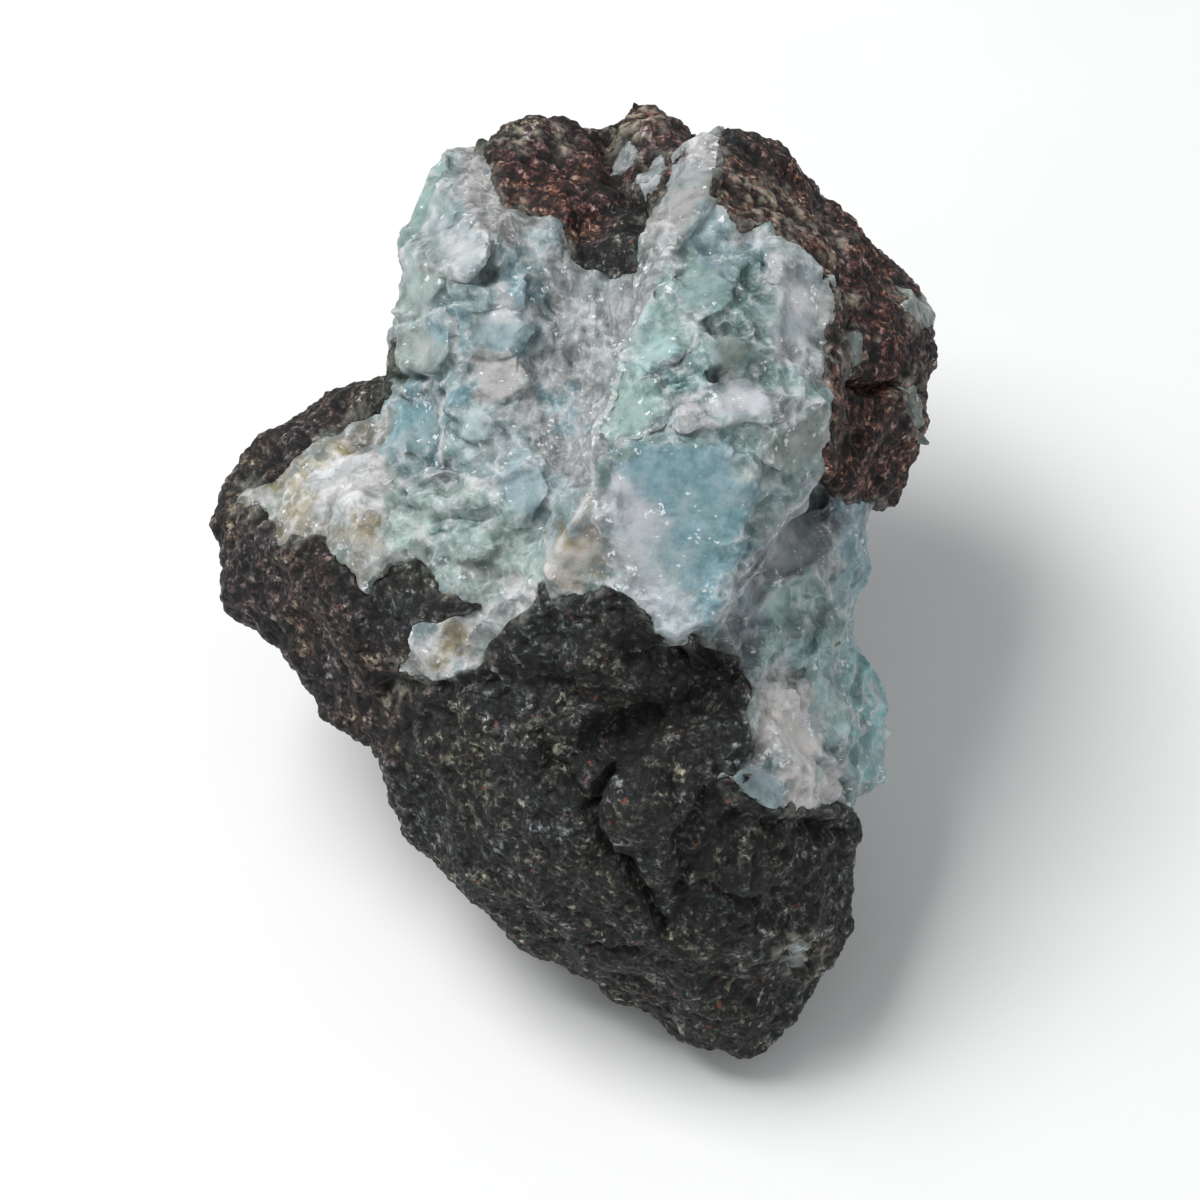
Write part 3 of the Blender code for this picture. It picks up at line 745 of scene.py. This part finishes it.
bent_here = here + 0.5 * np.stack([cloud(here, 3, 51 + axis) for axis in range(3)], axis=1)
chunks, _, chunk_tone = scoops(bent_here, CHUNK, 61, tilt=0.9, hollow=0.55)
chips, chip_edge, chip_tone = scoops(bent_here, CHIP, 62, tilt=0.9, hollow=0.55)
splinters, _, splinter_tone = scoops(here, SPLINTER, 63, tilt=0.8, hollow=0.6)
along = here @ np.column_stack([ACROSS, UP, OUT]) / NEEDLES
needles = cloud(along, 1.0, 64, 2)
rough_share = 1 - 0.8 * calm
broken = (0.55 * chunks + 0.6 * chips + 0.45 * splinters) * rough_share
relief = np.clip(broken * (1 - 0.4 * fibrous) + 0.3 * needles * fibrous, -1.2, 0.9)

# The colours of the mineral: milky where it is full of fine needles, blue and green where clear. Its dark
# green and lavender grey are darkened to paint shade in crevices and recesses.
PIGMENTS = {
    "grey_aqua": "#8a9b9c", "sugar": "#939595", "pink": "#a49f9d", "sea_green": "#8ba59e",
    "frost": "#b4babc", "grey_green": "#89938d", "pale_blue": "#8aa0a6", "deep_blue": "#71959c",
    "sky_blue": "#7fa1ab", "white_blue": "#a9b8bb", "dark_green_crevice_shade": "#56746f", "pale_green": "#9dada7",
    "beige": "#aca290", "white": "#cccaca", "olive_gold": "#8f845e", "aqua_green": "#7c9592",
    "bright_aqua": "#a3bebc", "leaf_green": "#90aaa2", "dark_teal": "#627f7a", "olive_grey": "#7b867e",
    "lavender_white": "#a4a8ab", "milk": "#c0c1c5", "lavender_grey_recess_shade": "#7b8084", "teal": "#8fbcbe",
    "cream": "#bcb2a5", "pink_white": "#dad4d0", "contact_grey": "#6c6f69", "mist_green": "#a6c0bc",
}
# Outlines of one colour on the face, from the lowest layer to the topmost
ZONES = [
    ("sugar", [(-2.3, 28.5), (3, 27.4), (4, 31.3), (4.6, 33), (5.8, 33), (5.9, 28.2), (5, 24.6),
               (2.8, 21), (1.4, 17.4), (0, 12.9), (-0.2, 10.6), (-1, 8.4), (-3.5, 10), (-6, 12), (-7, 16),
               (-5.5, 20), (-4.5, 24), (-5, 28), (-3.5, 31)]),
    ("pink", [(-12.5, 38.5), (-10, 38.5), (-9.2, 36), (-8, 33.2), (-5.5, 32.3), (-5.5, 30), (-9, 29.5),
              (-12, 33)]),
    ("sea_green", [(-17.6, 28.4), (-16, 34), (-14, 39), (-12.4, 38.3), (-12.9, 35.8), (-13.8, 32.7),
                   (-15, 29.8)]),
    ("frost", [(-13.6, 31.2), (-10.2, 31.6), (-9.2, 28.6), (-11, 26.6), (-13.4, 27.6)]),
    ("grey_green", [(-18, 28.2), (-13.8, 28.6), (-12.4, 26.2), (-13.6, 24.6), (-18, 23.6)]),
    ("grey_green", [(-18, 18.6), (-17.6, 22.6), (-12.4, 23.4), (-12, 20), (-14, 18.4)]),
    ("pale_blue", [(-9.6, 24.6), (-5.4, 25.6), (-3.8, 22.6), (-6.2, 20.4), (-10.8, 20.8)]),
    ("deep_blue", [(-18, 17.8), (-14, 17.2), (-13.2, 14.2), (-13.8, 11.6), (-17.4, 11.6)]),
    ("sky_blue", [(-13.2, 17.6), (-11.2, 18), (-11, 16), (-12.6, 15.4)]),
    ("pink", [(-11, 20.4), (-6.6, 20.6), (-5.4, 17.6), (-8, 16.2), (-11.2, 17.2)]),
    ("white_blue", [(-11.8, 15.4), (-9.6, 15.6), (-9.2, 13), (-11.6, 12.6)]),
    ("pale_blue", [(-8.6, 11.6), (-4.6, 12), (-3.4, 9), (-5.4, 6.4), (-8.6, 7.6)]),
    ("pale_green", [(-17.6, 10), (-9, 9.6), (-5, 5), (-4, 1), (-7.6, -1), (-13, 1), (-17, 3.5),
                    (-19, 6)]),
    # Painted shade: the crevice here is darkened in dark green
    ("dark_green_crevice_shade", [(-13.6, 7.2), (-8.8, 7.8), (-8.4, 6.9), (-12.6, 6.2)]),
    ("beige", [(-32, 8), (-30, 10), (-26.8, 11), (-24, 13), (-20.6, 16), (-18, 15.6), (-17.4, 11),
               (-18.6, 6), (-17.4, 2.4), (-20.6, 0.4), (-21, 3), (-23, 4), (-26.5, 3.8)]),
    ("white", [(-24.6, 10), (-20, 13.6), (-17.8, 12.4), (-18, 8), (-20.6, 6.6), (-23.4, 7.4)]),
    ("white", [(-31.6, 7.6), (-30, 10), (-27.8, 9.8), (-27.6, 8)]),
    ("white", [(-18, -7.2), (-17.8, -5), (-15.6, -4), (-15.4, -2), (-10, 0), (-5, 1), (-5, -0.5),
               (-9.4, -4), (-10, -6)]),
    ("aqua_green", [(5.9, 33.2), (8.6, 39), (10.8, 39), (9.8, 34), (11.8, 31.2), (13.6, 31.3), (15.2, 30),
                    (19.6, 26.6), (19.6, 20), (18.5, 18.8), (20, 16), (18.8, 11), (14.9, 7.5),
                    (12.8, 4.4), (9.9, -0.4), (8.3, -3.9), (5, -4.4), (2.5, 0), (-1, 0), (-1.2, 8.4),
                    (-0.3, 10.6), (0, 12.8), (1.3, 17.2), (2.4, 19.4), (2.8, 21.2), (5, 24.6),
                    (5.9, 28.2)]),
    ("pink", [(4.6, 32), (7.4, 39), (10.8, 39), (10, 35), (9.6, 33.6), (8, 32.4), (6.6, 30.6),
              (5.9, 28.6), (4.8, 30)]),
    ("pale_blue", [(6.6, 30.6), (8, 32.4), (9.6, 33.6), (12, 31), (14, 30.6), (13.2, 28.4), (10.4, 27.2),
                   (7.4, 28.6)]),
    ("dark_teal", [(12.6, 28.4), (14.2, 27), (13.2, 25), (10.9, 23.5), (9.4, 24.6), (10.8, 26.6)]),
    ("olive_grey", [(9, 22.3), (10.9, 22.8), (12.8, 21.9), (12.4, 19.2), (9.6, 18.3)]),
    ("lavender_white", [(13.9, 30.2), (17.2, 28.8), (19, 26.8), (19, 22.8), (18.6, 19.2), (16.3, 18.3),
                        (14.5, 21.9), (15, 25.5), (13.4, 27.4)]),
    ("milk", [(5.6, 16.6), (8.7, 17.6), (13.2, 18.3), (16.8, 17.4), (17.7, 16.5), (15.9, 14.7),
              (13.2, 15.1), (9.6, 14.7), (6.9, 14.2)]),
    ("grey_green", [(15.9, 14.7), (19.4, 16.5), (19.6, 12.9), (17.7, 11.1), (15, 10.2), (13.2, 12.4),
                    (14.1, 14.2)]),
    ("bright_aqua", [(2.6, 20.2), (4.5, 22.3), (5.9, 21.9), (7.6, 20.7), (6.1, 20.1), (4.5, 19.2)]),
    ("leaf_green", [(0.2, 13), (1, 17.4), (2.6, 19.9), (4.6, 18.3), (5.6, 17.2), (5, 15), (3.5, 13.5),
                    (2, 12.6)]),
    ("sky_blue", [(1.6, 12.2), (5.2, 13.7), (9.2, 13.2), (13.2, 12.2), (13.6, 9), (11, 1.6), (8.4, -2.4),
                  (6.8, -3.2), (5.4, -3), (3.6, 1), (1.4, 4.4), (0.6, 8.6)]),
    ("cream", [(-1.2, 8.4), (-0.4, 8.6), (-0.2, 4), (-0.8, 1), (-4, 0.4), (-4.4, 1.8), (-2.8, 5.2)]),
    # Painted shade: the recess under the rim, in a darkened lavender grey
    ("lavender_grey_recess_shade", [(18.9, 11), (14.9, 7.5), (12.8, 4.4), (9.9, -0.4), (8.3, -4.6), (12.4, -4.6),
                       (13.4, -1), (15, 1.4), (18, 2.6), (21, 4), (30, 7), (28, 10)]),
    ("mist_green", [(13.2, -1), (15, 1.6), (18, 2.8), (20, 0), (19.6, -6), (17, -8), (13.4, -5.4)]),
    ("pale_blue", [(19.4, 1), (21, 4.6), (30, 8), (30, 0), (21, -3)]),
    ("pink_white", [(13, -8), (14.4, -6), (17, -6.6), (17.4, -10), (19.4, -13.6), (20.8, -15),
                    (19.4, -17.6), (15, -17.4), (14.6, -14), (12.6, -12)]),
    ("teal", [(19.6, -3), (24, -3), (27, -10), (24, -16), (21, -14.4), (20.6, -9), (20, -7)]),
    ("mist_green", [(17.6, -11.4), (18, -9.5), (19, -8), (20.1, -7.8), (20.5, -9.5), (20.2, -11),
                    (19, -12.1)]),
    ("pale_blue", [(9.6, -14.8), (11.5, -13.4), (14.1, -14.2), (16, -16.5), (14, -18), (11, -16.6)]),
    # Painted shade: the hollow beside the knob, in the same darkened lavender grey
    ("lavender_grey_recess_shade", [(0, 35), (0, 39.6), (3, 39.6), (4.4, 37.4), (3, 35.2)]),
    ("lavender_white", [(1.6, 33), (3.2, 36.6), (4.8, 37.4), (6, 36.4), (4.6, 33.6)]),
    ("olive_grey", [(22, 28), (30, 28), (30, 12), (22, 12)]),
    ("olive_grey", [(14, -26), (19, -26), (19, -33), (14, -33)]),
]
# Softer stains and clouds, as (across, up, radius) of round pools. The dark green ones sit in crevices as
# painted shade.
POOLS = [
    ("milk", [(2.6, 4.2, 3.2), (4.6, 0, 3), (1.6, 8, 2), (6.2, -2.6, 2), (3.4, 6.4, 2.4)]),
    ("deep_blue", [(10.4, 7, 2.4), (6.4, 12.4, 1.6), (9.6, 3, 1.6), (-15.8, 14.6, 1.8)]),
    ("sky_blue", [(-12.6, 22.4, 1.6), (-6.4, 26, 1.8), (-3.4, 16.4, 1.8), (20.6, 7.2, 2), (22, 3, 2.4)]),
    ("sea_green", [(6.4, 23.4, 1.8), (7.4, 26.4, 1.8), (17, -3.4, 2), (16.6, 10.6, 1.2),
                   (-12.8, 12.6, 1)]),
    ("pale_green", [(-14.6, 26, 1.6), (-8, 3, 2.4), (12, 11.2, 1.4)]),
    # Some white pools are painted glints: those at (-11.8, 29.3) and (14, -12.5)
    ("white", [(-8.2, 24, 1.2), (-16.4, -5.6, 1), (-7, -0.6, 1.8), (15.4, -5.3, 1), (14, -12.5, 0.8),
               (-11.8, 29.3, 1.2), (7.2, 15.4, 1), (16.6, 25, 1.2), (8, 37.4, 1.4)]),
    ("olive_gold", [(-26.6, 8.4, 1), (-25, 11, 0.9), (-21.6, 13, 0.9), (-20, 5.6, 1.1), (-18.6, 7, 0.6),
                    (-12.4, -3.8, 1.9), (-2.8, 4.6, 0.9), (-0.6, 3.4, 0.7), (-25.6, 6.6, 0.8)]),
    ("dark_green_crevice_shade", [(13, 27, 0.8), (-12.5, 19.3, 0.8), (7, 19.2, 0.8), (3.6, 18, 0.7)]),
]


def tinted(colour, pigment, share):
    return mixed(colour, np.array(linear(PIGMENTS[pigment])), np.clip(share, 0, 1)[:, None])


# Each chip takes its colour from a spot of its own, so the colours change where the chips meet
own = 0.5 * chunk_tone + 0.8 * chip_tone
wander_u, wander_v = wandering(u, v, here, most=0.7, size=2.4, seed=71, octaves=3)
wander_u += 0.9 * own * rough_share
wander_v += 0.9 * np.cos(9 * own) * rough_share
colour = np.tile(linear(PIGMENTS["grey_aqua"]), (len(here), 1))
for pigment, outline in ZONES:
    inside = eased(-0.6, 0.8, inside_distance(wander_u, wander_v, outline))
    colour = tinted(colour, pigment, 0.9 * inside * front)
for pigment, pools in POOLS:
    colour = tinted(colour, pigment, 0.85 * near(wander_u, wander_v, pools) * front)
tone = 0.4 * chunk_tone + 0.8 * chip_tone + 0.6 * splinter_tone
colour = tinted(colour, "white", 0.3 * eased(0.1, 0.9, cloud(here, 3.4, 75, 3)))
colour = tinted(
    colour, "sea_green", 0.25 * eased(0.1, 0.8, cloud(here, 4.2, 76, 3)) * (1 - 0.7 * fibrous)
)
colour = tinted(colour, "sky_blue", 0.25 * eased(0.1, 0.8, cloud(here, 3.8, 77, 3)) * (1 - 0.7 * fibrous))
# Painted shade: the low places of the broken relief are darkened, while each chip's own tone changes its
# colour at random
low = eased(0.0, -0.6, relief)
colour *= ((1 + 0.3 * tone * rough_share) * (0.99 - 0.4 * low))[:, None]
# White bruises on the chips' edges and the drawn ridges, and the dark rock through the thin rim
bruised = eased(0.22, 0.0, chip_edge) * eased(-0.2, 0.5, cloud(here, 2.2, 78, 2)) * (1 - calm)
bruised = np.maximum(bruised, crest[grown] * eased(-0.35, 0.25, cloud(here, 1.8, 56, 3)))
colour = tinted(colour, "white", 0.7 * bruised)
thin = eased(1.5, 0.1, skin_depth[grown] + 0.9 * cloud(here, 1.3, 54, 3))
thin *= eased(-0.5, 0.3, cloud(here, 5, 55))
colour = tinted(colour, "contact_grey", 0.6 * thin)
frosted = eased(0.1, 0.8, cloud(here, 2.6, 79, 2) + 0.3 * fibrous)
pectolite = add_piece(
    "pectolite_seam",
    spread(relief, grown),
    share,
    pigment=spread(np.clip(colour, 0, 1), grown),
    frosted=spread(frosted, grown),
    calm=spread(calm, grown),
)

# Broken pectolite: waxy and a little see-through, so light sinks in and softens its shadows. It is
# clouded by milky veils, its flat facets catch the light, and its cleavage faces' flashes are painted
# glints.
waxy_pectolite = bpy.data.materials.new("broken_pectolite")
waxy_pectolite.use_nodes = True
tree = waxy_pectolite.node_tree
shader = tree.nodes["Principled BSDF"]
place = add_node(tree, "ShaderNodeTexCoord").outputs["Object"]
pigment = add_node(tree, "ShaderNodeAttribute", {"attribute_name": "pigment"}).outputs["Color"]
VEIL = 1.3  # millimetres across one milky veil
LARGE_FACET = 1.5  # and one large flat facet
SMALL_FACET = 0.6  # and one small one
BEND = 1.2  # millimetres that the facets' outlines are bent by at most, and from bend to bend
GLINT_GROUP = 0.9  # and a group of bright flecks
# Milky veils, with clearer and darker places between them
veils = add_node(
    tree, "ShaderNodeTexNoise", Vector=place, Scale=1 / (VEIL * MM), Detail=5.0, Roughness=0.65
)
veil_share = add_node(
    tree, "ShaderNodeMapRange", Value=veils.outputs["Fac"], From_Min=0.5, From_Max=0.75, To_Max=0.4
)
milky = add_node(
    tree,
    "ShaderNodeMix",
    {"data_type": "RGBA"},
    _0=veil_share.outputs["Result"],
    _6=pigment,
    _7="#c4c6ca",
).outputs[2]
clear_share = add_node(
    tree, "ShaderNodeMapRange", Value=veils.outputs["Fac"], From_Min=0.5, From_Max=0.3, To_Max=0.5
)
milky = add_node(
    tree,
    "ShaderNodeMix",
    {"data_type": "RGBA", "blend_type": "MULTIPLY"},
    _0=clear_share.outputs["Result"],
    _6=milky,
    _7="#8aa0a0",
).outputs[2]
frosted = add_node(tree, "ShaderNodeAttribute", {"attribute_name": "frosted"}).outputs["Fac"]
bent = add_node(
    tree, "ShaderNodeTexNoise", Vector=place, Scale=1 / (BEND * MM), Detail=3.0
).outputs["Color"]
bent_place = add_node(
    tree, "ShaderNodeVectorMath", {"operation": "MULTIPLY_ADD"}, _0=bent, _1=(BEND * MM,) * 3, _2=place
).outputs["Vector"]
height = 0.0
tone = 1.0
for facet, contrast in ((LARGE_FACET, 0.34), (SMALL_FACET, 0.24)):
    # Flat facets that the mineral broke into: each leans its own way and is a little lighter or darker
    cells = add_node(tree, "ShaderNodeTexVoronoi", Vector=bent_place, Scale=1 / (facet * MM))
    lean = add_node(
        tree, "ShaderNodeVectorMath", {"operation": "SUBTRACT"}, _0=cells.outputs["Color"], _1=(0.5,) * 3
    )
    from_middle = add_node(
        tree,
        "ShaderNodeVectorMath",
        {"operation": "SUBTRACT"},
        _0=bent_place,
        _1=cells.outputs["Position"],
    )
    slope = add_node(
        tree,
        "ShaderNodeVectorMath",
        {"operation": "DOT_PRODUCT"},
        _0=lean.outputs["Vector"],
        _1=from_middle.outputs["Vector"],
    )
    height = add_node(
        tree, "ShaderNodeMath", {"operation": "ADD"}, _0=slope.outputs["Value"], _1=height
    ).outputs["Value"]
    pick = add_node(tree, "ShaderNodeSeparateColor", Color=cells.outputs["Color"]).outputs["Green"]
    pick = add_node(
        tree, "ShaderNodeMapRange", Value=pick, To_Min=1 - contrast / 2, To_Max=1 + contrast / 2
    ).outputs["Result"]
    tone = add_node(tree, "ShaderNodeMath", {"operation": "MULTIPLY"}, _0=pick, _1=tone).outputs["Value"]
calm_share = add_node(tree, "ShaderNodeAttribute", {"attribute_name": "calm"}).outputs["Fac"]
evened = add_node(
    tree, "ShaderNodeMath", {"operation": "MULTIPLY"}, _0=calm_share, _1=0.75
).outputs["Value"]
tone = add_node(tree, "ShaderNodeMix", _0=evened, _2=tone, _3=1.0).outputs[0]
milky = add_node(
    tree, "ShaderNodeVectorMath", {"operation": "SCALE"}, _0=milky, Scale=tone
).outputs["Vector"]
# White bruises along some of the large facets' edges, but not on the calm flat breaks
edges = add_node(
    tree,
    "ShaderNodeTexVoronoi",
    {"feature": "DISTANCE_TO_EDGE"},
    Vector=bent_place,
    Scale=1 / (LARGE_FACET * MM),
)
bruise = add_node(
    tree, "ShaderNodeMapRange", Value=edges.outputs["Distance"], From_Min=0.08, From_Max=0.02, To_Max=0.4
)
bruise = add_node(
    tree,
    "ShaderNodeMapRange",
    Value=veils.outputs["Fac"],
    From_Min=0.47,
    From_Max=0.58,
    To_Max=bruise.outputs["Result"],
)
bruise = add_node(
    tree, "ShaderNodeMapRange", Value=calm_share, To_Min=bruise.outputs["Result"], To_Max=0.0
)
milky = add_node(
    tree, "ShaderNodeMix", {"data_type": "RGBA"}, _0=bruise.outputs["Result"], _6=milky, _7="#d3d8d9"
).outputs[2]
# Painted glints: white flecks for the light that flashes off cleavage faces, in groups
GLINT = 0.32  # millimetres across one of them
glints = add_node(tree, "ShaderNodeTexVoronoi", Vector=bent_place, Scale=1 / (GLINT * MM))
pick = add_node(tree, "ShaderNodeSeparateColor", Color=glints.outputs["Color"]).outputs["Red"]
glint_groups = add_node(
    tree, "ShaderNodeTexNoise", Vector=place, Scale=1 / (GLINT_GROUP * MM), Detail=3.0, Roughness=0.6
)
pick = add_node(
    tree, "ShaderNodeMath", {"operation": "MULTIPLY_ADD"}, _0=pick, _1=0.3, _2=glint_groups.outputs["Fac"]
)
pick = add_node(
    tree, "ShaderNodeMath", {"operation": "MULTIPLY_ADD"}, _0=frosted, _1=0.14, _2=pick.outputs["Value"]
)
painted_glint_share = add_node(
    tree, "ShaderNodeMapRange", Value=pick.outputs["Value"], From_Min=0.91, From_Max=0.94, To_Max=0.85
).outputs["Result"]
glinted_colour = add_node(
    tree, "ShaderNodeMix", {"data_type": "RGBA"}, _0=painted_glint_share, _6=milky, _7="#e6e9ec"
).outputs[2]
tree.links.new(glinted_colour, shader.inputs["Base Color"])
rough = add_node(
    tree,
    "ShaderNodeMapRange",
    Value=veils.outputs["Fac"],
    From_Min=0.3,
    From_Max=0.7,
    To_Min=0.42,
    To_Max=0.65,
)
tree.links.new(rough.outputs["Result"], shader.inputs["Roughness"])
sharpness = add_node(
    tree, "ShaderNodeMapRange", Value=calm_share, To_Min=0.5, To_Max=0.16
).outputs["Result"]
facets = add_node(tree, "ShaderNodeBump", Height=height, Strength=sharpness, Distance=1.0)
grit = add_node(
    tree, "ShaderNodeTexNoise", Vector=place, Scale=1 / (GRIT * MM), Detail=3.0, Roughness=0.6
)
bump = add_node(
    tree,
    "ShaderNodeBump",
    Height=grit.outputs["Fac"],
    Normal=facets.outputs["Normal"],
    Strength=0.5,
    Distance=0.1 * MM,
)
tree.links.new(bump.outputs["Normal"], shader.inputs["Normal"])
# Light sinks in by about a millimetre, the blue of it a little farther than the red
shader.inputs["Subsurface Weight"].default_value = 0.22
shader.inputs["Subsurface Radius"].default_value = (1.0, 1.2, 1.3)
shader.inputs["Subsurface Scale"].default_value = 0.8 * MM
pectolite.data.materials.append(waxy_pectolite)
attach(pectolite, "root")
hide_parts("larimar_stone")

bpy.data.objects.remove(skin)
